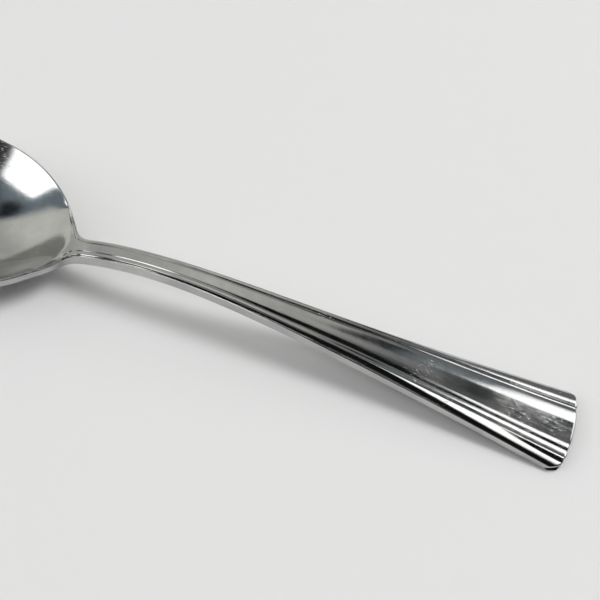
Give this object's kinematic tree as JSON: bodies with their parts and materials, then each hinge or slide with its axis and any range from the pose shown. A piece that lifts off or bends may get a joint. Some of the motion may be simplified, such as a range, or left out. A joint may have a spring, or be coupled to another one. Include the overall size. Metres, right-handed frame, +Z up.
{
  "type": "soup spoon",
  "caption": "Polished steel soup spoon with an oval bowl, a slim bent neck and a fluted handle that flares to a scalloped tail.",
  "frame": {"origin": "bottom centre of the spoon's box as it lies on a table: halfway between tip and tail, on the table", "axes": "+X along the spoon from the tip of the bowl to the tail, +Y across it, +Z up out of the bowl"},
  "size_m": [0.185, 0.044, 0.0151],
  "materials": {
    "steel": "polished stainless steel with fine wear scratches"
  },
  "bodies": {
    "root": {"bowl": "steel", "neck": "steel", "handle": "steel"}
  },
  "joints": []
}
